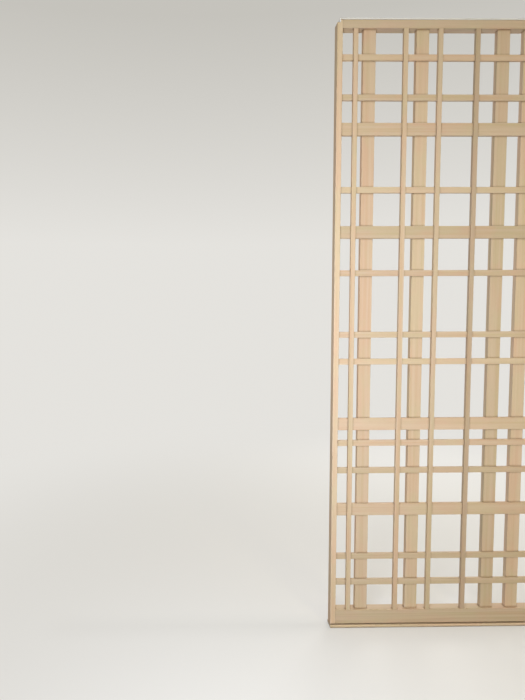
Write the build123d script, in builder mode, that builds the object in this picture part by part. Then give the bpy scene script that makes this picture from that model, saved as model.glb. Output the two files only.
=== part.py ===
from build123d import *
import os

# Lattice screen that slides sideways in its own frame: a sill, a head guide and one jamb.
# Millimetres, +Z up, X along the run, -Y towards the room.
# The origin is the middle of the sill's underside, in the plane of the running rail.

os.makedirs("parts", exist_ok=True)

# Timber of the screen: width across the face, depth from front to back
stile_width = 22
leaf_depth = 45
head_height = 33
foot_height = 60
narrow_width = 18
narrow_depth = 17
wide_width = 50
wide_depth = 25
slim_height = 24
slim_depth = 12
broad_height = 50
broad_depth = 15

# How far the crossbars, and the plane of the half-laps, lie behind the screen's front
bar_setback = 5
lap_setback = 11

# Tenons: length, shoulder of the bars and of the rails, cheek on the faces of the thin crossbars
tenon_length = 12
mortise_relief = 0.5
shoulder = 4
rail_shoulder = 8
cheek = 3
head_tenon_height = 10

# Uprights from left to right: the clear opening before each one, then its kind
uprights = [
    (44, "narrow"),
    (23, "wide"),
    (109, "narrow"),
    (36, "wide"),
    (35, "narrow"),
    (131, "narrow"),
    (73, "wide"),
    (57, "wide"),
    (73, "narrow"),
]
last_opening = 85

# Crossbars from the foot up: the clear opening under each one, then its kind
crossbars = [
    (108, "slim"),
    (88, "slim"),
    (165, "broad"),
    (130, "slim"),
    (92, "slim"),
    (43, "broad"),
    (224, "slim"),
    (87, "slim"),
    (228, "slim"),
    (128, "broad"),
    (132, "slim"),
    (203, "broad"),
    (87, "slim"),
    (131, "slim"),
]
top_opening = 98

# Travel of the screen, and the gaps that it keeps at its stops
travel = 900
jamb_gap = 1
stop_gap = 0.5

# Sill, running rail and jamb
sill_depth = 60
sill_thickness = 12
rail_width = 6
rail_seat = 2
rail_height = 4
foot_gap = 5
jamb_width = 30

# Head guide: a strip with a fin that the grooved top of the screen runs over, and an end stop
strip_thickness = 5
strip_nose = 4
stop_thickness = 5
fin_thickness = 4
fin_height = 16
fin_play = 0.8
groove_relief = 2
top_gap = 1
stop_inset = 9
stop_reach = 10

# Roller units in the foot rail
wheel_radius = 12.5
wheel_width = 9
tread_radius = 10
tread_width = 3
tread_gap = 0.3
axle_radius = 2
running_clearance = 0.05
case_wall = 1.5
case_play = 0.5
case_length = 46
case_height = 26
ear_length = 14
roller_inset = 120
mortise_play = 0.2

# Holes: the axles' play in their cases, and the screws' holes
axle_play = 0.05
ear_hole_radius = 1.5
fixing_radius = 2.5
fixing_head_radius = 5
sill_hole_spacing = 1500
sill_hole_rows = 40
guide_hole_spacing = 1200
guide_hole_rows = 28
jamb_hole_spacing = 1400

# Softened edges of the stiles, rails, jamb and guide; the lattice keeps its crisp planed edges
arris = 0.8
sill_chamfer = 3
horn_radius = 3

widths = {"narrow": narrow_width, "wide": wide_width}
depths = {"narrow": narrow_depth, "wide": wide_depth}
heights = {"slim": slim_height, "broad": broad_height}
bar_depths = {"slim": slim_depth, "broad": broad_depth}

# Widths added up from the left, heights from the floor
inner_width = sum(gap + widths[kind] for gap, kind in uprights) + last_opening
leaf_width = inner_width + 2 * stile_width
frame_length = leaf_width + travel + jamb_gap + jamb_width
frame_left = -frame_length / 2
frame_right = frame_length / 2
jamb_left = frame_right - jamb_width
leaf_left = frame_left
leaf_right = leaf_left + leaf_width
inner_left = leaf_left + stile_width
inner_right = leaf_right - stile_width

leaf_bottom = sill_thickness + foot_gap
foot_top = leaf_bottom + foot_height
lattice_height = sum(gap + heights[kind] for gap, kind in crossbars) + top_opening
head_bottom = foot_top + lattice_height
leaf_top = head_bottom + head_height
strip_underside = leaf_top + top_gap
frame_top = strip_underside + strip_thickness
groove_bottom = strip_underside - fin_height - groove_relief
groove_width = fin_thickness + 2 * fin_play

front = -leaf_depth / 2
lap_y = front + lap_setback
lap_plane = Plane.XZ.offset(-lap_y)
bar_front = front + bar_setback
lap_cut = lap_setback - bar_setback

# Place of every upright: kind, left edge, front face
upright_places = []
edge = inner_left
for gap, kind in uprights:
    edge += gap
    upright_places.append((kind, edge, lap_y if kind == "wide" else front))
    edge += widths[kind]

# Place of every crossbar: kind, lower edge
bar_places = []
edge = foot_top
for gap, kind in crossbars:
    edge += gap
    bar_places.append((kind, edge))
    edge += heights[kind]

# Narrow uprights are notched from behind as deep as they go; wide ones take the bars' backs
notch_depths = {
    ("narrow", "slim"): narrow_depth,
    ("narrow", "broad"): narrow_depth,
    ("wide", "slim"): slim_depth - lap_cut,
    ("wide", "broad"): broad_depth - lap_cut,
}


def save(builder, name):
    builder.part.label = name
    export_step(builder.part, f"parts/{name}.step")


# Uprights, tenoned into the head rail and the foot rail
def make_upright(name, kind, left, face):
    width, depth = widths[kind], depths[kind]
    centre = (left + width / 2, face + depth / 2)
    with BuildPart() as upright:
        with BuildSketch(Plane.XY.offset(foot_top)):
            with Locations(centre):
                Rectangle(width, depth)
        extrude(amount=lattice_height)
        with BuildSketch(Plane.XY.offset(foot_top - tenon_length)):
            with Locations(centre):
                Rectangle(width - 2 * shoulder, depth - 2 * shoulder)
        extrude(amount=lattice_height + 2 * tenon_length)
        for bar_kind in heights:
            with BuildSketch(lap_plane):
                for place_kind, low in bar_places:
                    if place_kind == bar_kind:
                        with Locations((centre[0], low + heights[bar_kind] / 2)):
                            Rectangle(width, heights[bar_kind])
            extrude(amount=-notch_depths[kind, bar_kind], mode=Mode.SUBTRACT)
    save(upright, name)


counts = {"narrow": 0, "wide": 0}
for kind, left, face in upright_places:
    counts[kind] += 1
    make_upright(f"{kind}_upright_{counts[kind]}", kind, left, face)


# Crossbars, tenoned into the stiles and notched in front for the narrow uprights
def make_crossbar(name, kind, low):
    height, depth = heights[kind], bar_depths[kind]
    centre = (bar_front + depth / 2, low + height / 2)
    with BuildPart() as bar:
        with BuildSketch(Plane.YZ.offset(inner_left)):
            with Locations(centre):
                Rectangle(depth, height)
        extrude(amount=inner_width)
        with BuildSketch(Plane.YZ.offset(inner_left - tenon_length)):
            with Locations(centre):
                Rectangle(depth - 2 * cheek, height - 2 * shoulder)
        extrude(amount=inner_width + 2 * tenon_length)
        with BuildSketch(lap_plane):
            for post_kind, left, face in upright_places:
                if post_kind == "narrow":
                    with Locations((left + narrow_width / 2, centre[1])):
                        Rectangle(narrow_width, height)
        extrude(amount=lap_setback, mode=Mode.SUBTRACT)
    save(bar, name)


for number, (kind, low) in enumerate(reversed(bar_places), start=1):
    make_crossbar(f"crossbar_{number:02d}_{kind}", kind, low)


# Mortises for the uprights' tenons, cut from a face of the head rail or the foot rail
def cut_upright_mortises(plane, depth):
    with BuildSketch(plane) as mortises:
        for kind, left, face in upright_places:
            with Locations((left + widths[kind] / 2, face + depths[kind] / 2)):
                Rectangle(widths[kind] - 2 * shoulder, depths[kind] - 2 * shoulder)
    extrude(mortises.sketch, amount=depth, mode=Mode.SUBTRACT)


mortise_depth = tenon_length + mortise_relief
head_tenon_centre = head_bottom + shoulder + head_tenon_height / 2
foot_tenon_centre = leaf_bottom + foot_height / 2
rail_tenon_depth = leaf_depth - 2 * rail_shoulder
foot_tenon_height = foot_height - 2 * rail_shoulder

# Head rail, grooved along its top for the fin
with BuildPart() as head_rail:
    with BuildSketch(Plane.YZ.offset(inner_left)) as section:
        with Locations((0, head_bottom + head_height / 2)):
            Rectangle(leaf_depth, head_height)
        chamfer(section.vertices(), arris)
    extrude(amount=inner_width)
    with BuildSketch(Plane.YZ.offset(inner_left - tenon_length)):
        with Locations((0, head_tenon_centre)):
            Rectangle(rail_tenon_depth, head_tenon_height)
    extrude(amount=inner_width + 2 * tenon_length)
    with BuildSketch(Plane.YZ.offset(inner_left)):
        with Locations((0, (groove_bottom + leaf_top) / 2)):
            Rectangle(groove_width, leaf_top - groove_bottom)
    extrude(amount=inner_width, mode=Mode.SUBTRACT)
    cut_upright_mortises(Plane.XY.offset(head_bottom), mortise_depth)
save(head_rail, "head_rail")

# Roller places in the foot rail, and the stack from the sill up to the axle
roller_centres = [leaf_left + roller_inset, leaf_right - roller_inset]
rail_top = sill_thickness + rail_height
axle_height = rail_top + tread_gap + tread_radius
case_inside = wheel_width + 2 * case_play
case_width = case_inside + 2 * case_wall
ear_reach = case_length / 2 + ear_length
ear_hole_inset = case_length / 2 + ear_length / 2

# Foot rail, mortised from below for the roller cases and let in for their ears
with BuildPart() as foot_rail:
    with BuildSketch(Plane.YZ.offset(inner_left)) as section:
        with Locations((0, foot_tenon_centre)):
            Rectangle(leaf_depth, foot_height)
        chamfer(section.vertices(), arris)
    extrude(amount=inner_width)
    with BuildSketch(Plane.YZ.offset(inner_left - tenon_length)):
        with Locations((0, foot_tenon_centre)):
            Rectangle(rail_tenon_depth, foot_tenon_height)
    extrude(amount=inner_width + 2 * tenon_length)
    cut_upright_mortises(Plane.XY.offset(foot_top), -mortise_depth)
    with BuildSketch(Plane.XY.offset(leaf_bottom)):
        with Locations(*[(x, 0) for x in roller_centres]):
            Rectangle(case_length + 2 * mortise_play, case_width + 2 * mortise_play)
    extrude(amount=case_height + mortise_play, mode=Mode.SUBTRACT)
    with BuildSketch(Plane.XY.offset(leaf_bottom)):
        with Locations(*[(x, 0) for x in roller_centres]):
            Rectangle(2 * ear_reach + 2 * mortise_play, case_width + 2 * mortise_play)
    extrude(amount=case_wall, mode=Mode.SUBTRACT)
save(foot_rail, "foot_rail")


# The left stile's top corner is notched for the stop
notch_width = stop_inset + stop_thickness + stop_gap
notch_drop = stop_reach + top_gap


# Stiles, with a mortise for every crossbar and rail, and the guide groove over their tops
def make_stile(name, left, inner_face, into, notched):
    with BuildPart() as stile:
        with BuildSketch(Plane.XY.offset(leaf_bottom)) as section:
            with Locations((left + stile_width / 2, 0)):
                Rectangle(stile_width, leaf_depth)
            chamfer(section.vertices(), arris)
        extrude(amount=leaf_top - leaf_bottom)
        with BuildSketch(Plane.YZ.offset(inner_face)):
            for kind, low in bar_places:
                with Locations((bar_front + bar_depths[kind] / 2, low + heights[kind] / 2)):
                    Rectangle(bar_depths[kind] - 2 * cheek, heights[kind] - 2 * shoulder)
            with Locations((0, head_tenon_centre)):
                Rectangle(rail_tenon_depth, head_tenon_height)
            with Locations((0, foot_tenon_centre)):
                Rectangle(rail_tenon_depth, foot_tenon_height)
        extrude(amount=into * mortise_depth, mode=Mode.SUBTRACT)
        with BuildSketch(Plane.YZ.offset(left)):
            with Locations((0, (groove_bottom + leaf_top) / 2)):
                Rectangle(groove_width, leaf_top - groove_bottom)
        extrude(amount=stile_width, mode=Mode.SUBTRACT)
        if notched:
            with BuildSketch(Plane.XZ.offset(-leaf_depth / 2)):
                with Locations((leaf_left, leaf_top)):
                    Rectangle(2 * notch_width, 2 * notch_drop)
            extrude(amount=leaf_depth, mode=Mode.SUBTRACT)
            horn = stile.edges().filter_by(Axis.Y).filter_by_position(
                Axis.X, leaf_left + notch_width, leaf_left + notch_width
            )
            fillet(horn.group_by(Axis.Z)[-1], min(horn_radius, stile_width - notch_width - arris))
    save(stile, name)


make_stile("left_stile", leaf_left, inner_left, -1, True)
make_stile("right_stile", inner_right, inner_right, 1, False)


# Pressed case, open below, with two ears that are dimpled for their screws
def make_roller_case(name, centre_x):
    with BuildPart() as case:
        with BuildSketch(Plane.XY.offset(leaf_bottom)):
            with Locations((centre_x, 0)):
                Rectangle(2 * ear_reach, case_width)
        extrude(amount=case_wall)
        with BuildSketch(Plane.XY.offset(leaf_bottom)):
            with Locations((centre_x, 0)):
                Rectangle(case_length, case_width)
        extrude(amount=case_height)
        with BuildSketch(Plane.XY.offset(leaf_bottom)):
            with Locations((centre_x, 0)):
                Rectangle(case_length - 2 * case_wall, case_inside)
        extrude(amount=case_height - case_wall, mode=Mode.SUBTRACT)
        with BuildSketch(Plane.XZ.offset(-case_width / 2)):
            with Locations((centre_x, axle_height)):
                Circle(axle_radius + axle_play)
        extrude(amount=case_width, mode=Mode.SUBTRACT)
        for x in (centre_x - ear_hole_inset, centre_x + ear_hole_inset):
            with Locations((x, 0, leaf_bottom)):
                Cone(
                    ear_hole_radius + case_wall,
                    ear_hole_radius,
                    case_wall,
                    align=(Align.CENTER, Align.CENTER, Align.MIN),
                    mode=Mode.SUBTRACT,
                )
    save(case, name)


# Axle pin, held by the two cheeks of its case
def make_axle(name, centre_x):
    with BuildPart() as axle:
        with BuildSketch(Plane.XZ.offset(-case_width / 2)):
            with Locations((centre_x, axle_height)):
                Circle(axle_radius)
        extrude(amount=case_width)
    save(axle, name)


# Wheel turned with a groove that straddles the rail's round top and widens out to the rims
def make_wheel(name, centre_x):
    bore = axle_radius + running_clearance
    with BuildPart() as wheel:
        with BuildSketch(Plane.YZ.offset(centre_x)):
            with BuildLine():
                Polyline(
                    (-wheel_width / 2, axle_height + bore),
                    (-wheel_width / 2, axle_height + wheel_radius),
                    (-tread_width / 2, axle_height + tread_radius),
                    (tread_width / 2, axle_height + tread_radius),
                    (wheel_width / 2, axle_height + wheel_radius),
                    (wheel_width / 2, axle_height + bore),
                    close=True,
                )
            make_face()
        revolve(axis=Axis((centre_x, 0, axle_height), (0, 1, 0)))
    save(wheel, name)


for side, centre_x in zip(("left", "right"), roller_centres):
    make_roller_case(f"roller_case_{side}", centre_x)
    make_axle(f"axle_pin_{side}", centre_x)
    make_wheel(f"roller_wheel_{side}", centre_x)

jamb_centre = jamb_left + jamb_width / 2

# Sill board with the rail's groove, countersunk from above for its fixing to the floor
# and from below for the screw that holds the jamb
with BuildPart() as sill_board:
    with BuildSketch(Plane.YZ.offset(frame_left)) as section:
        with Locations((0, sill_thickness / 2)):
            Rectangle(sill_depth, sill_thickness)
        chamfer(section.vertices().group_by(Axis.Z)[-1], sill_chamfer)
    extrude(amount=frame_length)
    with BuildSketch(Plane.YZ.offset(frame_left)):
        with Locations((0, sill_thickness - rail_seat / 2)):
            Rectangle(rail_width, rail_seat)
    extrude(amount=jamb_left - frame_left, mode=Mode.SUBTRACT)
    with Locations((0, 0, sill_thickness)):
        with GridLocations(sill_hole_spacing, sill_hole_rows, 2, 2):
            CounterSinkHole(fixing_radius, fixing_head_radius)
    with Locations(Location((jamb_centre, 0, 0), (180, 0, 0))):
        CounterSinkHole(fixing_radius, fixing_head_radius)
save(sill_board, "sill_board")

# Running rail with a round top
with BuildPart() as running_rail:
    with BuildSketch(Plane.YZ.offset(frame_left)):
        rail_base = sill_thickness - rail_seat
        crown = rail_top - rail_width / 2
        with Locations((0, (rail_base + crown) / 2)):
            Rectangle(rail_width, crown - rail_base)
        with Locations((0, crown)):
            Circle(rail_width / 2)
    extrude(amount=jamb_left - frame_left)
save(running_rail, "running_rail")

# Head strip, its left end rounded off, countersunk from below for its fixing to the ceiling
# and from above for the screw that holds the jamb
stop_left = leaf_left + stop_inset
stop_right = stop_left + stop_thickness
stop_bottom = leaf_top - stop_reach
with BuildPart() as head_strip:
    with BuildSketch(Plane.XZ.offset(-leaf_depth / 2)) as outline:
        with Locations(((stop_left + frame_right) / 2, strip_underside + strip_thickness / 2)):
            Rectangle(frame_right - stop_left, strip_thickness)
        top_left = outline.vertices().group_by(Axis.X)[0].sort_by(Axis.Y)[-1]
        fillet(top_left, min(strip_nose, strip_thickness - arris))
    extrude(amount=leaf_depth)
    with Locations(Location((0, 0, strip_underside), (180, 0, 0))):
        with GridLocations(guide_hole_spacing, guide_hole_rows, 2, 2):
            CounterSinkHole(fixing_radius, fixing_head_radius)
    with Locations((jamb_centre, 0, frame_top)):
        CounterSinkHole(fixing_radius, fixing_head_radius)
save(head_strip, "head_strip")

# End stop, welded under the strip's left end
with BuildPart() as end_stop:
    with BuildSketch(Plane.XZ.offset(-leaf_depth / 2)) as outline:
        with Locations(((stop_left + stop_right) / 2, (stop_bottom + strip_underside) / 2)):
            Rectangle(stop_thickness, strip_underside - stop_bottom)
        chamfer(outline.vertices().group_by(Axis.Y)[0], arris)
    extrude(amount=leaf_depth)
save(end_stop, "end_stop")

# Fin, welded along the middle of the strip between the stop and the jamb
with BuildPart() as guide_fin:
    with BuildSketch(Plane.YZ.offset(stop_right)) as section:
        with Locations((0, strip_underside - fin_height / 2)):
            Rectangle(fin_thickness, fin_height)
        chamfer(section.vertices().group_by(Axis.Y)[0], arris)
    extrude(amount=jamb_left - stop_right)
save(guide_fin, "guide_fin")

# Right jamb between sill and strip, countersunk for fixing it to a wall
jamb_middle = (sill_thickness + strip_underside) / 2
jamb_holes = [jamb_middle - jamb_hole_spacing / 2, jamb_middle + jamb_hole_spacing / 2]
with BuildPart() as right_jamb:
    with BuildSketch(Plane.XY.offset(sill_thickness)) as section:
        with Locations((jamb_centre, 0)):
            Rectangle(jamb_width, leaf_depth)
        chamfer(section.vertices(), arris)
    extrude(amount=strip_underside - sill_thickness)
    with Locations(*[Location((jamb_left, 0, z), (0, -90, 0)) for z in jamb_holes]):
        CounterSinkHole(fixing_radius, fixing_head_radius)
save(right_jamb, "right_jamb")

print("screen", leaf_width, "x", leaf_top - leaf_bottom, "frame", frame_length, "x", frame_top)
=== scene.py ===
# %% [markdown]
# # A sliding lattice screen, dressed for a render
#
# The screen is a tall open lattice of pale, planed wood. It rolls sideways on a low rail and is
# kept upright by a slim painted guide above its head. Its joinery, sizes and moving parts already
# exist as solids, and this lesson only gives them their finish: the wood's figure, the paint, the
# brass, the steel and the plastic.
#
# We could model every board again with a finer mesh, but a planed board is flat, and what the
# eye reads on it is colour and grain. So the solids stay as they are, and most of the work goes
# into materials.

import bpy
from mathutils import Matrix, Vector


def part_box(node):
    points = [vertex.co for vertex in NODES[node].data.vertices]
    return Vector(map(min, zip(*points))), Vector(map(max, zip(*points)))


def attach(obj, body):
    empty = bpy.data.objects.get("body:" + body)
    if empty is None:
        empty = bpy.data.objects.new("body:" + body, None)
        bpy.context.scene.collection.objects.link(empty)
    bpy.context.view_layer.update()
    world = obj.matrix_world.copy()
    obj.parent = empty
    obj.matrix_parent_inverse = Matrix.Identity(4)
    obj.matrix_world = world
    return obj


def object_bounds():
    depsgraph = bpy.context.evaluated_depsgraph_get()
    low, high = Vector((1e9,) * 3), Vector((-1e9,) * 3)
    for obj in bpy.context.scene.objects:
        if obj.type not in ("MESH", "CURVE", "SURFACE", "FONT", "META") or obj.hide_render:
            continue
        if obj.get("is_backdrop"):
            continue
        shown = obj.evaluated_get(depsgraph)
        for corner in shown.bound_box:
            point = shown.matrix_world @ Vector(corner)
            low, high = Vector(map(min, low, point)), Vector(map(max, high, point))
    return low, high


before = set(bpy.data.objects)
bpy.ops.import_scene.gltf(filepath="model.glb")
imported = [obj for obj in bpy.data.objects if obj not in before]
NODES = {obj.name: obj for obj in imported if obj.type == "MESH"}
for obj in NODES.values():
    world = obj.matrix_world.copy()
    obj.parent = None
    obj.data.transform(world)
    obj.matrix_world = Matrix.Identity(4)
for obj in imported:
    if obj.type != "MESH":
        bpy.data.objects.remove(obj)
cad_low, cad_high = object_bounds()
print("the screen and its frame measure", [round(side, 3) for side in cad_high - cad_low], "m")

# %% Tools for the lesson
import math
import random

import bmesh
import bpy
from mathutils import Matrix, Vector

scene = bpy.context.scene
print(len(NODES), "solids to dress")

# %% [markdown]
# ## The camera
#
# The picture that this screen is matched to was taken from the left, a little above half the
# screen's height, with the camera turned slightly down. We could aim a camera at a target by
# eye, but the angles were measured, so it is simpler to build the camera's own axes from them:
# one that looks out, one to its right, one up.
#
# The level lines of the bars and the upright lines of the boards agree on one camera only if its
# axis meets the picture left of the middle, as in a picture that was trimmed on one side. The
# lens is shifted by that much.

# %% Measured camera
PICTURE_WIDTH = 525
PICTURE_HEIGHT = 700
FOCAL_PIXELS = 600
AXIS_PIXEL = 207
SENSOR = 36.0
CAMERA_PLACE = Vector((-1.5228, -2.4742, 1.3683))
CAMERA_DOWN = math.radians(4.238)
CAMERA_TURN = math.radians(0.868)
CAMERA_ROLL = math.radians(-0.193)
print("the camera stands", round(-CAMERA_PLACE.y, 2), "m in front of the screen's middle plane")


# %% Place the camera
def camera_axes(down, turn, roll):
    level = math.cos(down)
    out = Vector((math.sin(turn) * level, math.cos(turn) * level, -math.sin(down)))
    right = out.cross(Vector((0, 0, 1))).normalized()
    up = right.cross(out)
    rolled_right = right * math.cos(roll) + up * math.sin(roll)
    rolled_up = up * math.cos(roll) - right * math.sin(roll)
    return rolled_right, rolled_up, out


right, up, out = camera_axes(CAMERA_DOWN, CAMERA_TURN, CAMERA_ROLL)
camera = bpy.data.objects.new("camera", bpy.data.cameras.new("camera"))
camera.data.sensor_width = SENSOR
camera.data.lens = SENSOR * FOCAL_PIXELS / PICTURE_HEIGHT
camera.data.shift_x = (PICTURE_WIDTH / 2 - AXIS_PIXEL) / PICTURE_HEIGHT
facing = Matrix((right, up, -out)).transposed().to_4x4()
camera.matrix_world = Matrix.Translation(CAMERA_PLACE) @ facing
scene.collection.objects.link(camera)
scene.camera = camera
print("lens", round(camera.data.lens, 2), "mm, shifted by", round(camera.data.shift_x, 4))

# %% [markdown]
# ## Small helpers for node trees
#
# Every finish below is a tree of nodes. Wiring one by hand takes a line for each node and each
# link, so a few helpers keep it short. The first adds a node and fills its sockets, where a
# value is either a plain number or the output of another node. A socket is named by its label,
# with _ for each space, or by its number, as in _0 for the first.


# %% Add a node and fill its sockets
def find_socket(node, key):
    return node.inputs[int(key[1:])] if key[0] == "_" else node.inputs[key.replace("_", " ")]


def add(tree, kind, settings=None, **sockets):
    node = tree.nodes.new(kind)
    for key, value in (settings or {}).items():
        setattr(node, key, value)
    for key, value in sockets.items():
        socket = find_socket(node, key)
        if isinstance(value, bpy.types.NodeSocket):
            tree.links.new(value, socket)
        else:
            socket.default_value = value
    return node


print("a node helper is ready")

# %% Sums and vectors
MEASURES = ("LENGTH", "DOT_PRODUCT")


def numbered(values):
    return {f"_{i}": value for i, value in enumerate(values)}


def maths(tree, operation, *values):
    return add(tree, "ShaderNodeMath", {"operation": operation}, **numbered(values)).outputs[0]


def vectors(tree, operation, *values):
    node = add(tree, "ShaderNodeVectorMath", {"operation": operation}, **numbered(values))
    return node.outputs["Value" if operation in MEASURES else "Vector"]


def stretch(tree, where, factors):
    return vectors(tree, "MULTIPLY", where, factors)


print("two operations on vectors give a plain number:", *MEASURES)


# %% Masks, mixes and noise
def weigh(tree, mask, amount):
    return maths(tree, "MULTIPLY", mask, amount)


def remap(tree, value, low, high, to_low=0.0, to_high=1.0):
    ends = numbered((value, low, high, to_low, to_high))
    return add(tree, "ShaderNodeMapRange", **ends).outputs[0]


def between(tree, mask, low, high):
    return remap(tree, mask, 0.0, 1.0, low, high)


def mix(tree, share, first, second):
    settings = {"data_type": "RGBA"}
    return add(tree, "ShaderNodeMix", settings, _0=share, _6=first, _7=second).outputs[2]


def noise(tree, where, scale=1.0, detail=2.0, roughness=0.5):
    sockets = {"Vector": where, "Scale": scale, "Detail": detail, "Roughness": roughness}
    return add(tree, "ShaderNodeTexNoise", **sockets).outputs[0]


print("helpers for masks, mixes and noise are ready")

# %% Start a group and use it
SOCKETS = {"value": "NodeSocketFloat", "vector": "NodeSocketVector"}


def new_group(name, inputs, outputs):
    group = bpy.data.node_groups.new(name, "ShaderNodeTree")
    for label, kind, default in inputs:
        socket = group.interface.new_socket(label, in_out="INPUT", socket_type=SOCKETS[kind])
        if default is not None:
            socket.default_value = default
    for label, kind in outputs:
        group.interface.new_socket(label, in_out="OUTPUT", socket_type=SOCKETS[kind])
    given = group.nodes.new("NodeGroupInput").outputs
    return group, given, group.nodes.new("NodeGroupOutput").inputs


def use(tree, group, **sockets):
    return add(tree, "ShaderNodeGroup", {"node_tree": group}, **sockets).outputs


print("a group takes and gives each", " or ".join(SOCKETS), "by its name")


# %% Start a material and finish its surface
def start_material(name):
    material = bpy.data.materials.new(name)
    material.use_nodes = True
    tree = material.node_tree
    place = add(tree, "ShaderNodeTexCoord").outputs["Object"]
    return material, tree, tree.nodes["Principled BSDF"], place


def finish_surface(tree, shader, colour, roughness, relief, strength, depth, **more):
    bump = add(tree, "ShaderNodeBump", Strength=strength, Distance=depth, Height=relief, **more)
    tree.links.new(colour, shader.inputs["Base Color"])
    tree.links.new(roughness, shader.inputs["Roughness"])
    tree.links.new(bump.outputs[0], shader.inputs["Normal"])


def dress(node, material):
    solid = NODES[node]
    solid.data.materials.clear()
    solid.data.materials.append(material)


print("each material gets a colour, a roughness and a relief")

# %% [markdown]
# ## The figure of sawn wood
#
# A trunk grows in rings, and a board is a straight cut through them. Rings cut near the trunk's
# middle show as fine parallel lines, and rings cut at its side show as long arches. A flat
# picture of grain could be laid on each face, but it would not meet at the corners or show rings
# on the end of a board.
#
# So the group below works in three dimensions. It measures how far a point is from the middle of
# the trunk, bends that distance a little along the board, and repeats it once a ring. Each ring
# starts pale and ends in a thin darker line. Fibres and flecks are noise drawn out along the
# board, and so are bands a finger wide, which are what shows of the figure from some steps away.
# A wider drift changes the tint within a hand's width.

# %% Sizes of the figure
# Each noise is squeezed by these factors in X, Y and Z, and the grain runs along Z
SWAY = (6.0, 6.0, 0.9)
TREMBLE = (60.0, 60.0, 5.0)
TREMBLE_REACH = 0.0012
MIDDLE_GREY = 0.5
ACROSS_THE_TRUNK = (1.0, 1.0, 0.0)
LATE_WOOD_POWER = 3.0
LATE_WOOD_END = 0.9

# Factors, detail, roughness, and the levels of noise that count as nothing and as all
FIGURE_NOISE = {
    "Fibres": ((700.0, 700.0, 9.0), 3.0, 0.6, (0.30, 0.70)),
    "Drift": ((16.0, 16.0, 6.5), 2.0, 0.5, (0.36, 0.64)),
    "Bands": ((85.0, 85.0, 1.2), 2.0, 0.5, (0.34, 0.66)),
    "Flecks": ((1500.0, 1500.0, 45.0), 1.0, 0.5, (0.66, 0.76)),
}
print("the figure has rings and", len(FIGURE_NOISE), "kinds of noise")


# %% Group: sawn wood
def ring_lines(group, place, ring_width, wander):
    sway = noise(group, stretch(group, place, SWAY), detail=1.0)
    tremble = noise(group, stretch(group, place, TREMBLE))
    radius = vectors(group, "LENGTH", stretch(group, place, ACROSS_THE_TRUNK))
    bend = weigh(group, maths(group, "SUBTRACT", sway, MIDDLE_GREY), wander)
    quiver = weigh(group, maths(group, "SUBTRACT", tremble, MIDDLE_GREY), TREMBLE_REACH)
    bent = maths(group, "ADD", maths(group, "ADD", radius, bend), quiver)
    phase = maths(group, "FRACT", maths(group, "DIVIDE", bent, ring_width))
    rise = maths(group, "POWER", phase, LATE_WOOD_POWER)
    return weigh(group, rise, remap(group, phase, LATE_WOOD_END, 1.0, 1.0, 0.0))


def build_sawn_wood():
    inputs = [
        ("Along Grain", "vector", None),
        ("Pith", "vector", (0.05, 0.02, 0.0)),
        ("Ring Width", "value", 0.0022),
        ("Wander", "value", 0.006),
    ]
    outputs = [("Rings", "value")] + [(name, "value") for name in FIGURE_NOISE]
    group, given, put = new_group("sawn_wood", inputs, outputs)
    place = vectors(group, "ADD", given["Along Grain"], given["Pith"])
    rings = ring_lines(group, place, given["Ring Width"], given["Wander"])
    group.links.new(rings, put["Rings"])
    for name, (factors, detail, roughness, levels) in FIGURE_NOISE.items():
        fine = {"detail": detail, "roughness": roughness}
        grey = noise(group, stretch(group, place, factors), **fine)
        group.links.new(remap(group, grey, *levels), put[name])
    return group


SAWN_WOOD = build_sawn_wood()
print("group", SAWN_WOOD.name, "with", len(SAWN_WOOD.nodes), "nodes")

# %% [markdown]
# ## Edges and painted corner shade
#
# Hands, cloths and dust find the edges first. On paint the edge is where the coat is thinnest,
# and on steel it is where the metal stays bright. On wood the arris is made a little smoother,
# and is also painted a little paler: a painted highlight where a rounded edge would catch light.
# A mask of the edges could be painted, but here it is measured: the Bevel node gives the normal
# that a rounded edge would have, and where that differs from the true normal there is an edge
# close by. The same normal rounds the arrises of the lattice, which are sharp in the solids.
#
# Where two boards meet, the inner corner is given a thin painted shade on both sides. The Ambient
# Occlusion node looks around each point for a finger's width and darkens the colour where wood
# close by hides the open air, so it finds the inner corners that the Bevel node leaves out.

# %% Limits of edges and painted corner shade
BEVEL_SAMPLES = 4
CORNER_SHADE_SAMPLES = 8
EDGE_COSINES = (0.98, 0.80)
OPEN_SHARES = (0.92, 0.62)
PATCHES_PER_METRE = 45.0
SOFT_CONTRAST = (0.35, 0.65)
print("an edge shows in full where the normals differ by", end=" ")
print(round(math.degrees(math.acos(EDGE_COSINES[1]))), "degrees")


# %% Group: edges and painted corner shade
def find_edges(group, given, rounded):
    flat = add(group, "ShaderNodeNewGeometry").outputs["True Normal"]
    edge = remap(group, vectors(group, "DOT_PRODUCT", rounded, flat), *EDGE_COSINES)
    clouds = noise(group, given["Where"], PATCHES_PER_METRE, detail=3.0)
    bare = weigh(group, remap(group, clouds, *SOFT_CONTRAST), given["Patchiness"])
    return weigh(group, edge, maths(group, "SUBTRACT", 1.0, bare))


def find_corner_shade(group, given):
    # Painted shade: the colour darkens where wood close by hides the open air
    settings = {"samples": CORNER_SHADE_SAMPLES}
    around = add(group, "ShaderNodeAmbientOcclusion", settings, Distance=given["Shade Reach"])
    return remap(group, around.outputs["AO"], *OPEN_SHARES)


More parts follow.
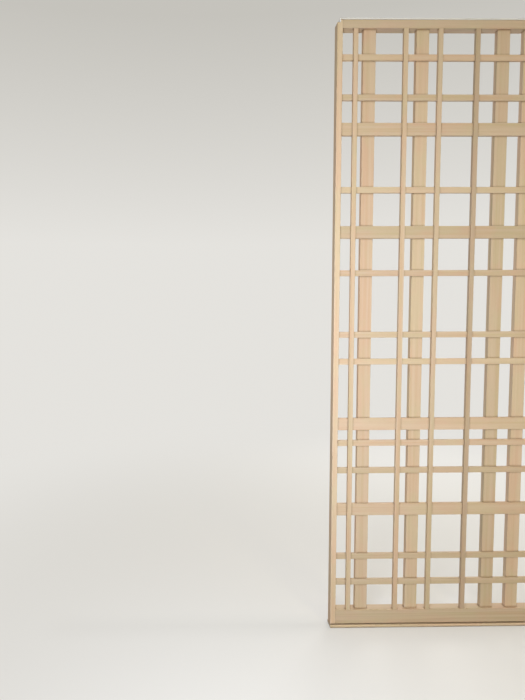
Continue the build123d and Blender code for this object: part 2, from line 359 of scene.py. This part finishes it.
def build_edges():
    inputs = [
        ("Reach", "value", 0.001),
        ("Patchiness", "value", 0.5),
        ("Where", "vector", None),
        ("Shade Reach", "value", 0.010),
    ]
    outputs = [("Edge", "value"), ("Seam", "value"), ("Softened", "vector")]
    group, given, put = new_group("edges_and_corner_shade", inputs, outputs)
    bevel = add(group, "ShaderNodeBevel", {"samples": BEVEL_SAMPLES}, Radius=given["Reach"])
    rounded = bevel.outputs[0]
    group.links.new(find_edges(group, given, rounded), put["Edge"])
    group.links.new(find_corner_shade(group, given), put["Seam"])
    group.links.new(rounded, put["Softened"])
    return group


EDGES = build_edges()
print("group", EDGES.name, "with", len(EDGES.nodes), "nodes")

# %% [markdown]
# ## Boards
#
# The lattice is one kind of pale softwood, planed and left matt, but no two boards come from the
# same place in the trunk. One material for all would be quicker, but then every bar would carry
# the same figure. Every member therefore has its own material. They share the groups above, and
# each has its own pith, ring width and tint, drawn from a seeded list so that each run gives the
# same screen.
#
# The group expects the grain along Z. A standing member has it there already, and a lying one
# has it along X, so its coordinates are turned round first.

# %% Wood colours
PALE_WOOD = (0.805, 0.640, 0.470, 1.0)
ROSY_WOOD = (0.755, 0.515, 0.340, 1.0)
STRAW_WOOD = (0.700, 0.565, 0.345, 1.0)
RING_WOOD = (0.600, 0.410, 0.250, 1.0)
FLECK_WOOD = (0.450, 0.290, 0.170, 1.0)
# Colour of the painted shade in inner corners where boards meet
CORNER_SHADE_WOOD = (0.300, 0.190, 0.110, 1.0)
print("six colours, the seams' the darkest")

# %% What differs from board to board
PITH_SIDEWAYS = (-0.12, 0.12)
PITH_DEPTH = (0.02, 0.09)
PITH_ALONG = (-9, 9)
RING_WIDTHS = (0.0020, 0.0048)
LEVELS = (0.94, 1.05)
WARMTHS = (-0.30, 0.25)

# Painted light and shade: boards painted lighter or darker where more or less light falls
PAINTED_LIGHT_LEVEL = {
    "left_stile": 1.07,
    "narrow_upright_4": 0.87,
    "wide_upright_3": 0.91,
    "head_rail": 0.92,
    "crossbar_03_broad": 0.92,
    "crossbar_05_broad": 0.93,
    "crossbar_06_slim": 0.96,
}


def draw_board(node, draw):
    sideways = draw.uniform(*PITH_SIDEWAYS)
    depth = draw.choice((-1, 1)) * draw.uniform(*PITH_DEPTH)
    pith = (sideways, depth, draw.uniform(*PITH_ALONG))
    ring_width = draw.uniform(*RING_WIDTHS)
    # The random tone is multiplied by the painted light and shade of a few boards
    level = draw.uniform(*LEVELS) * PAINTED_LIGHT_LEVEL.get(node, 1.0)
    return pith, ring_width, level, draw.uniform(*WARMTHS)


print(len(PAINTED_LIGHT_LEVEL), "boards are set lighter or darker than the rest")

# %% Colour of a board
BAND_SHARE = 0.65
RING_SHARE = 0.55
FIBRE_SHARE = 0.20
FLECK_SHARE = 0.30
# The paler arris is a painted highlight, where a rounded edge would catch the light
ARRIS_HIGHLIGHT_SHARE = 0.25
ARRIS_HIGHLIGHT_LEVEL = 1.04
# Share of the painted shade in the inner corners
CORNER_SHADE_SHARE = 0.60


def shade(colour, by):
    return tuple(channel * by for channel in colour[:3]) + (1.0,)


def wood_colour(tree, figure, edges, level, warmth):
    rosiness = maths(tree, "ADD", figure["Drift"], warmth)
    colour = mix(tree, rosiness, shade(STRAW_WOOD, level), shade(ROSY_WOOD, level))
    layers = (
        (figure["Bands"], BAND_SHARE, shade(PALE_WOOD, level)),
        (figure["Rings"], RING_SHARE, shade(RING_WOOD, level)),
        (figure["Fibres"], FIBRE_SHARE, shade(RING_WOOD, level)),
        (figure["Flecks"], FLECK_SHARE, FLECK_WOOD),
        # Painted highlight: the arris is painted paler, where a rounded edge would catch the
        # light
        (edges["Edge"], ARRIS_HIGHLIGHT_SHARE, shade(PALE_WOOD, ARRIS_HIGHLIGHT_LEVEL)),
        # Painted shade in the inner corners where boards meet
        (edges["Seam"], CORNER_SHADE_SHARE, CORNER_SHADE_WOOD),
    )
    for mask, share, over in layers:
        colour = mix(tree, weigh(tree, mask, share), colour, over)
    return colour


print("a board's colour is laid in six coats")

# %% Surface of a board
WANDER = 0.012
ARRIS = 0.0012
ARRIS_PATCHINESS = 0.6
WOOD_ROUGHNESS = (0.62, 0.76)
ARRIS_SMOOTHER = 0.08
RING_RELIEF = 0.4
WOOD_RELIEF = {"strength": 0.25, "depth": 0.00012}
MATT_SPECULAR = 0.20
print("a board's arris is rounded by", ARRIS * 1000, "mm")


# %% Material of a board
def along_grain(tree, place, lying):
    if not lying:
        return place
    parts = add(tree, "ShaderNodeSeparateXYZ", _0=place).outputs
    return add(tree, "ShaderNodeCombineXYZ", _0=parts[1], _1=parts[2], _2=parts[0]).outputs[0]


def make_wood(node, lying, draw):
    material, tree, shader, place = start_material(f"wood_{node}")
    place = along_grain(tree, place, lying)
    pith, ring_width, level, warmth = draw_board(node, draw)
    grain = {"Along_Grain": place, "Pith": pith, "Ring_Width": ring_width, "Wander": WANDER}
    figure = use(tree, SAWN_WOOD, **grain)
    edges = use(tree, EDGES, Reach=ARRIS, Patchiness=ARRIS_PATCHINESS, Where=place)
    colour = wood_colour(tree, figure, edges, level, warmth)
    smoother = weigh(tree, edges["Edge"], ARRIS_SMOOTHER)
    rough = maths(tree, "SUBTRACT", between(tree, figure["Fibres"], *WOOD_ROUGHNESS), smoother)
    relief = maths(tree, "ADD", weigh(tree, figure["Rings"], RING_RELIEF), figure["Fibres"])
    finish_surface(tree, shader, colour, rough, relief, Normal=edges["Softened"], **WOOD_RELIEF)
    shader.inputs["Specular IOR Level"].default_value = MATT_SPECULAR
    return material


print("the colour, the roughness and the relief of a board follow one figure")

# %% Dress every board
BOARD_SEED = 11
STANDING = ["left_stile", "right_stile", "right_jamb"]
STANDING += sorted(name for name in NODES if "upright" in name)
LYING = ["head_rail", "foot_rail", "sill_board"]
LYING += sorted(name for name in NODES if name.startswith("crossbar"))

draw = random.Random(BOARD_SEED)
for node in STANDING + LYING:
    dress(node, make_wood(node, node in LYING, draw))
print(len(STANDING), "standing and", len(LYING), "lying boards")

# %% [markdown]
# ## Painted guide
#
# The guide above the screen is a metal strip with a fin and an end stop welded below it, all in
# one coat of satin pale paint. One flat colour would look like plastic, and modelled drips or
# chips would be too much for a piece that nobody touches. So the coat is mixed from clean and
# dusty paint in soft clouds, lets a little primer through along its edges, and has the faint
# peel of a sprayed surface as its relief.

# %% Satin paint
PAINT = (0.920, 0.895, 0.835, 1.0)
PAINT_DUSTY = (0.860, 0.830, 0.765, 1.0)
PRIMER = (0.600, 0.590, 0.560, 1.0)
DUST_CLOUDS_PER_METRE = 7.0
DUST_SHARE = 0.35
PRIMER_SHARE = 0.30
PAINT_EDGE = {"Reach": 0.0010, "Patchiness": 1.0}
PAINT_ROUGHNESS = (0.34, 0.44)
PEEL_PER_METRE = 900.0
PEEL_RELIEF = {"strength": 0.12, "depth": 0.0001}


def make_paint():
    material, tree, shader, place = start_material("satin_paint")
    clouds = noise(tree, place, DUST_CLOUDS_PER_METRE, detail=3.0)
    dust = remap(tree, clouds, *SOFT_CONTRAST)
    edge = use(tree, EDGES, Where=place, **PAINT_EDGE)["Edge"]
    coat = mix(tree, weigh(tree, dust, DUST_SHARE), PAINT, PAINT_DUSTY)
    colour = mix(tree, weigh(tree, edge, PRIMER_SHARE), coat, PRIMER)
    rough = between(tree, dust, *PAINT_ROUGHNESS)
    peel = noise(tree, place, PEEL_PER_METRE, detail=1.0)
    finish_surface(tree, shader, colour, rough, peel, **PEEL_RELIEF)
    return material


paint = make_paint()
PAINTED = ("head_strip", "end_stop", "guide_fin")
for node in PAINTED:
    dress(node, paint)
print(len(PAINTED), "painted pieces")

# %% [markdown]
# ## Brass rail
#
# The rail in the sill is drawn brass. The drawing leaves fine lines along it, and the wheels keep
# its crown bright while the rest tarnishes. An anisotropic gloss could stand for the lines, but
# noise squeezed across the rail gives them as a relief, which also lives through an export. The
# crown is found by its height, and the tarnish is taken off there.

# %% Drawn brass
BRASS = (0.800, 0.560, 0.240, 1.0)
BRASS_DULL = (0.480, 0.330, 0.150, 1.0)
DRAWN_LINES = (3.0, 2400.0, 2400.0)
TARNISH = (9.0, 60.0, 60.0)
TARNISH_LEVELS = (0.35, 0.70)
POLISH_FADES_BELOW = 0.0012
POLISH_FULL_BELOW = 0.0002
POLISH_SHARE = 0.8
BRASS_ROUGHNESS = (0.20, 0.48)
BRASS_RELIEF = {"strength": 0.20, "depth": 0.00005}


def make_brass():
    material, tree, shader, place = start_material("drawn_brass")
    clouds = noise(tree, stretch(tree, place, TARNISH), detail=3.0)
    tarnish = remap(tree, clouds, *TARNISH_LEVELS)
    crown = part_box("running_rail")[1].z
    height = add(tree, "ShaderNodeSeparateXYZ", _0=place).outputs[2]
    polish = remap(tree, height, crown - POLISH_FADES_BELOW, crown - POLISH_FULL_BELOW)
    unpolished = maths(tree, "SUBTRACT", 1.0, weigh(tree, polish, POLISH_SHARE))
    dull = weigh(tree, tarnish, unpolished)
    colour = mix(tree, dull, BRASS, BRASS_DULL)
    rough = between(tree, dull, *BRASS_ROUGHNESS)
    lines = noise(tree, stretch(tree, place, DRAWN_LINES))
    finish_surface(tree, shader, colour, rough, lines, **BRASS_RELIEF)
    shader.inputs["Metallic"].default_value = 1.0
    return material


brass = make_brass()
dress("running_rail", brass)
print("material", brass.name, "with", len(brass.node_tree.nodes), "nodes")

# %% [markdown]
# ## Steel of the rollers and screws
#
# The roller cases, their pins and all screws are zinc-plated steel. Zinc turns cloudy with age,
# and only the edges, which are touched most, keep their shine. A plain metal shader would mirror
# the studio too cleanly, so soft clouds decide both the colour and the roughness, and a fine
# brushing along the piece breaks the gloss.

# %% Zinc-plated steel
ZINC = (0.620, 0.625, 0.630, 1.0)
ZINC_DULL = (0.430, 0.435, 0.445, 1.0)
ZINC_CLOUDS_PER_METRE = 160.0
ZINC_EDGE = {"Reach": 0.0006, "Patchiness": 0.4}
ZINC_ROUGHNESS = (0.24, 0.42)
BRUSHING = (60.0, 3000.0, 3000.0)
ZINC_RELIEF = {"strength": 0.15, "depth": 0.00004}


def make_steel():
    material, tree, shader, place = start_material("plated_steel")
    clouds = noise(tree, place, ZINC_CLOUDS_PER_METRE, detail=3.0)
    cloudy = remap(tree, clouds, *SOFT_CONTRAST)
    edge = use(tree, EDGES, Where=place, **ZINC_EDGE)["Edge"]
    dull = weigh(tree, cloudy, maths(tree, "SUBTRACT", 1.0, edge))
    colour = mix(tree, dull, ZINC, ZINC_DULL)
    rough = between(tree, dull, *ZINC_ROUGHNESS)
    brushing = noise(tree, stretch(tree, place, BRUSHING), detail=1.0)
    finish_surface(tree, shader, colour, rough, brushing, **ZINC_RELIEF)
    shader.inputs["Metallic"].default_value = 1.0
    return material


steel = make_steel()
STEEL_PIECES = ("roller_case_left", "roller_case_right", "axle_pin_left", "axle_pin_right")
for node in STEEL_PIECES:
    dress(node, steel)
print(len(STEEL_PIECES), "steel pieces")

# %% [markdown]
# ## Nylon wheels
#
# The wheels are turned from natural nylon, which is milky and a little yellow, and greyer where
# it has rubbed. Light does enter the real plastic, but a wheel that stands inside a rail gets so
# little of it that a mottled surface colour is enough. The lathe leaves rings round the axle, so
# the relief changes fast along Y and slowly round it.

# %% Turned nylon
NYLON = (0.820, 0.800, 0.730, 1.0)
NYLON_RUBBED = (0.560, 0.520, 0.440, 1.0)
MOTTLE_PER_METRE = 420.0
MOTTLE_LEVELS = (0.3, 0.7)
MOTTLE_SHARE = 0.25
RUBBED_SHARE = 0.4
NYLON_EDGE = {"Reach": 0.0008, "Patchiness": 0.5}
NYLON_ROUGHNESS = (0.36, 0.50)
LATHE_RINGS = (90.0, 2600.0, 90.0)
NYLON_RELIEF = {"strength": 0.15, "depth": 0.00006}


def make_nylon():
    material, tree, shader, place = start_material("turned_nylon")
    mottle = remap(tree, noise(tree, place, MOTTLE_PER_METRE, detail=3.0), *MOTTLE_LEVELS)
    edge = use(tree, EDGES, Where=place, **NYLON_EDGE)["Edge"]
    mottled = weigh(tree, mottle, MOTTLE_SHARE)
    rubbed = maths(tree, "ADD", mottled, weigh(tree, edge, RUBBED_SHARE))
    colour = mix(tree, rubbed, NYLON, NYLON_RUBBED)
    rough = between(tree, mottle, *NYLON_ROUGHNESS)
    rings = noise(tree, stretch(tree, place, LATHE_RINGS), detail=1.0)
    finish_surface(tree, shader, colour, rough, rings, **NYLON_RELIEF)
    return material


nylon = make_nylon()
WHEELS = ("roller_wheel_left", "roller_wheel_right")
for node in WHEELS:
    dress(node, nylon)
print(len(WHEELS), "nylon wheels")

# %% [markdown]
# ## Screws
#
# A small screw stands in each ear of the roller cases, and a longer one holds the jamb at each
# end. They are too small for the solids, where only their countersunk holes are. A screw could
# be put together from a cone and a cylinder, but turning one outline round the axis gives head
# and shank in a single closed mesh. The cross in the head is cut by two tapered blocks, as a
# punch would press it.

# %% Turn an outline
SCREW_STEPS = 48
WELD_WITHIN = 1e-7


def mesh_from(shape, name):
    mesh = bpy.data.meshes.new(name)
    shape.to_mesh(mesh)
    shape.free()
    return mesh


def turn_outline(name, outline):
    shape = bmesh.new()
    points = [shape.verts.new((radius, 0.0, height)) for radius, height in outline]
    edges = [shape.edges.new(pair) for pair in zip(points, points[1:])]
    about = {"axis": (0, 0, 1), "cent": (0, 0, 0), "angle": 2 * math.pi}
    bmesh.ops.spin(shape, geom=points + edges, steps=SCREW_STEPS, use_merge=True, **about)
    bmesh.ops.remove_doubles(shape, verts=shape.verts, dist=WELD_WITHIN)
    bmesh.ops.recalc_face_normals(shape, faces=shape.faces)
    return bpy.data.objects.new(name, mesh_from(shape, name))


print("an outline is turned in", SCREW_STEPS, "steps")

# %% Shape the cross
# In head radii, in head radii and in depths of the countersunk head
CROSS_LENGTH = 1.2
CROSS_WIDTH = 0.28
CROSS_DEPTH = 0.9
CROSS_TAPER = 0.45


def recess_block(length, width, depth, turn):
    block = bmesh.new()
    bmesh.ops.create_cube(block, size=2.0)
    for vert in block.verts:
        taper = CROSS_TAPER if vert.co.z < 0 else 1.0
        x, y, z = vert.co
        vert.co = Vector((x * length / 2 * taper, y * width / 2, z * depth))
    mesh = mesh_from(block, "recess_block")
    mesh.transform(Matrix.Rotation(turn, 4, "Z"))
    return bpy.data.objects.new("recess_block", mesh)


print("each block narrows to", CROSS_TAPER, "of its length")


# %% Press the cross
def press_cross(screw, head_radius, sink):
    size = (CROSS_LENGTH * head_radius, CROSS_WIDTH * head_radius, CROSS_DEPTH * sink)
    blocks = [recess_block(*size, turn) for turn in (0, math.pi / 2)]
    for block in blocks:
        scene.collection.objects.link(block)
        cut = screw.modifiers.new("recess", "BOOLEAN")
        cut.operation = "DIFFERENCE"
        cut.object = block
    seen = screw.evaluated_get(bpy.context.evaluated_depsgraph_get())
    pressed = bpy.data.meshes.new_from_object(seen)
    screw.modifiers.clear()
    screw.data = pressed
    for block in blocks:
        bpy.data.objects.remove(block)


print("the cross is", CROSS_LENGTH, "head radii long and", CROSS_WIDTH, "wide")

# %% Make a screw
RIM_SHARE = 0.1
TIP_IN_SHANK_RADII = 2


def make_screw(name, head_radius, shank_radius, length, head_at, up, body):
    sink = head_radius - shank_radius
    tip = length - TIP_IN_SHANK_RADII * shank_radius
    outline = [(0, 0), (head_radius, 0), (head_radius, -RIM_SHARE * sink), (shank_radius, -sink)]
    outline += [(shank_radius, -tip), (0, -length)]
    screw = turn_outline(name, outline)
    scene.collection.objects.link(screw)
    press_cross(screw, head_radius, sink)
    turn = Vector(up).to_track_quat("Z", "Y").to_matrix().to_4x4()
    screw.data.transform(Matrix.Translation(head_at) @ turn)
    screw.data.materials.append(steel)
    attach(screw, body)
    return screw


print("a screw's tip takes up", TIP_IN_SHANK_RADII, "shank radii")

# %% Screws of the roller cases and the jamb
EAR_HOLE_INSET = 0.007
HEAD_BELOW_FACE = 0.0001
CASE_SCREW = {"head_radius": 0.0028, "shank_radius": 0.0014, "length": 0.015}
JAMB_SCREW = {"head_radius": 0.0046, "shank_radius": 0.0022, "length": 0.045}
DOWNWARDS, UPWARDS = (0, 0, -1), (0, 0, 1)

for side in ("left", "right"):
    low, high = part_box(f"roller_case_{side}")
    for end, x in (("left", low.x + EAR_HOLE_INSET), ("right", high.x - EAR_HOLE_INSET)):
        place = (x, (low.y + high.y) / 2, low.z + HEAD_BELOW_FACE)
        name = f"case_screw_{side}_{end}"
        make_screw(name, head_at=place, up=DOWNWARDS, body="screen", **CASE_SCREW)

low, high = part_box("right_jamb")
jamb_x = (low.x + high.x) / 2
foot, head = (jamb_x, 0, HEAD_BELOW_FACE), (jamb_x, 0, cad_high.z - HEAD_BELOW_FACE)
make_screw("jamb_screw_foot", head_at=foot, up=DOWNWARDS, body="frame", **JAMB_SCREW)
screw = make_screw("jamb_screw_head", head_at=head, up=UPWARDS, body="frame", **JAMB_SCREW)
print("six screws, the last with", len(screw.data.polygons), "faces")

# %% [markdown]
# ## Floor and background
#
# The floor is a plain pale disc that fades into the background with distance, so that no horizon
# cuts the picture. A curved sweep of paper would do the same for one view, but it would stand in
# the way of the views from behind. The background is a little darker overhead than at eye level,
# because the pale guide at the top of the screen would not show against an even one. For the rays
# that light the screen both are darker than they look, because a white floor would fill the
# undersides of the bars with light.

# %% Colours of floor and background
BACKGROUND = (0.780, 0.765, 0.730, 1.0)
BACKGROUND_OVERHEAD = (0.560, 0.545, 0.505, 1.0)
OVERHEAD_RISE = (0.10, 0.42)
SKY = (0.340, 0.320, 0.280, 1.0)
FLOOR_SEEN = (0.860, 0.845, 0.805, 1.0)
FLOOR_LIGHTING = (0.150, 0.138, 0.120, 1.0)


def seen_directly(tree):
    path = add(tree, "ShaderNodeLightPath").outputs
    either = maths(tree, "MAXIMUM", path["Is Camera Ray"], path["Is Glossy Ray"])
    return maths(tree, "MAXIMUM", either, path["Is Transmission Ray"])


darker = round(FLOOR_SEEN[0] / FLOOR_LIGHTING[0], 1)
print("to the rays that light the screen, the floor is", darker, "times darker than it looks")

# %% How the floor fades
FLOOR_RADIUS = 14.0
FLOOR_SIDES = 96
FLOOR_ROUGHNESS = 0.9
FLOOR_SPECULAR = 0.1
FADE_START = 0.4
FADE_END = 4.5
FADE_LEAST = 0.35


def fade_with_distance(tree, place):
    settings = {"interpolation_type": "SMOOTHERSTEP"}
    ends = {"_1": FADE_START, "_2": FADE_END, "_3": FADE_LEAST}
    distance = vectors(tree, "LENGTH", place)
    return add(tree, "ShaderNodeMapRange", settings, _0=distance, **ends).outputs[0]


print("the floor is all background from", FADE_END, "m outwards")


# %% Floor
def make_floor():
    circle = {"vertices": FLOOR_SIDES, "radius": FLOOR_RADIUS, "fill_type": "NGON"}
    bpy.ops.mesh.primitive_circle_add(**circle)
    floor = bpy.context.object
    floor.name = "floor"
    material, tree, shader, place = start_material("pale_floor")
    seen = seen_directly(tree)
    tree.links.new(mix(tree, seen, FLOOR_LIGHTING, FLOOR_SEEN), shader.inputs["Base Color"])
    shader.inputs["Roughness"].default_value = FLOOR_ROUGHNESS
    shader.inputs["Specular IOR Level"].default_value = FLOOR_SPECULAR
    glow = add(tree, "ShaderNodeEmission", Color=BACKGROUND, Strength=1.0).outputs[0]
    share = weigh(tree, fade_with_distance(tree, place), seen)
    blend = add(tree, "ShaderNodeMixShader", _0=share, _1=shader.outputs[0], _2=glow).outputs[0]
    tree.links.new(blend, tree.nodes["Material Output"].inputs["Surface"])
    floor.data.materials.append(material)
    floor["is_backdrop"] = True
    return floor


floor = make_floor()
print("a floor", 2 * FLOOR_RADIUS, "m wide, called", floor.name)


# %% Background
def make_background():
    world = bpy.data.worlds.new("studio")
    world.use_nodes = True
    tree = world.node_tree
    tree.nodes.clear()
    towards = add(tree, "ShaderNodeTexCoord").outputs["Generated"]
    rise = add(tree, "ShaderNodeSeparateXYZ", _0=towards).outputs[2]
    overhead = remap(tree, rise, *OVERHEAD_RISE)
    seen = mix(tree, overhead, BACKGROUND, BACKGROUND_OVERHEAD)
    colour = mix(tree, seen_directly(tree), SKY, seen)
    sky = add(tree, "ShaderNodeBackground", Color=colour, Strength=1.0)
    end = tree.nodes.new("ShaderNodeOutputWorld")
    tree.links.new(sky.outputs[0], end.inputs["Surface"])
    return world


scene.world = make_background()
print("background", scene.world.name, "with", len(scene.world.node_tree.nodes), "nodes")

# %% [markdown]
# ## Light
#
# The screen is brightest at the height of the camera and darker at its top and to the right. So
# the main lamp is a disc at chest height to the left, a fill stands to the right, and a weak one
# shines from higher than the camera. Three more are for the other sides: one to the right of the
# jamb, one behind, and a small one straight over the guide, whose own shadow keeps that light off
# the bars below.
#
# A disc lamp of P watts, r metres away, lights a facing surface with about P / (pi * r)^2. Each
# lamp is given by the share of full light that it should put on the screen, and its power is
# worked out from that.

# %% Lamps
WHITE = (1.00, 1.00, 1.00)
LAMPS = [
    # name, place, aim, width of the disc, share of full light, colour
    ("key", (-1.7, -1.75, 1.25), (-0.95, 0.0, 1.25), 0.6, 0.77, (0.91, 1.00, 1.22)),
    ("upper", (-1.3, -1.8, 2.20), (-0.9, 0.0, 1.90), 0.9, 0.05, (1.10, 1.00, 0.60)),
    ("right", (0.1, -3.2, 1.50), (-0.3, 0.0, 0.50), 0.8, 0.21, (1.10, 1.00, 0.62)),
    ("side", (3.6, 0.5, 1.6), (0.9, 0.0, 1.3), 1.6, 0.40, WHITE),
    ("top", (0.0, 0.0, 4.5), (0.0, 0.0, 2.5), 0.12, 0.50, WHITE),
    ("back", (0.8, 4.2, 2.2), (-0.2, 0.0, 1.3), 2.4, 0.52, WHITE),
]


def make_lamp(name, place, aim, size, share, colour):
    lamp = bpy.data.objects.new(name, bpy.data.lights.new(name, "AREA"))
    ray = Vector(aim) - Vector(place)
    lamp.data.shape = "DISK"
    lamp.data.size = size
    lamp.data.energy = share * (math.pi * ray.length) ** 2
    lamp.data.color = colour
    lamp.location = place
    lamp.rotation_euler = ray.to_track_quat("-Z", "Y").to_euler()
    scene.collection.objects.link(lamp)
    return lamp.data.energy


watts = [round(make_lamp(*lamp), 1) for lamp in LAMPS]
scene.view_settings.view_transform = "Standard"
print(len(LAMPS), "lamps of", watts, "watts")

# %% [markdown]
# ## Size of the dressed model
#
# The dressed model must be as large as the solids. Its box is printed here, to be set against
# the box of the solids that was printed at the start.

# %% Print the sizes
low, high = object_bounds()
print("visual box", [round(side, 3) for side in high - low], "m")
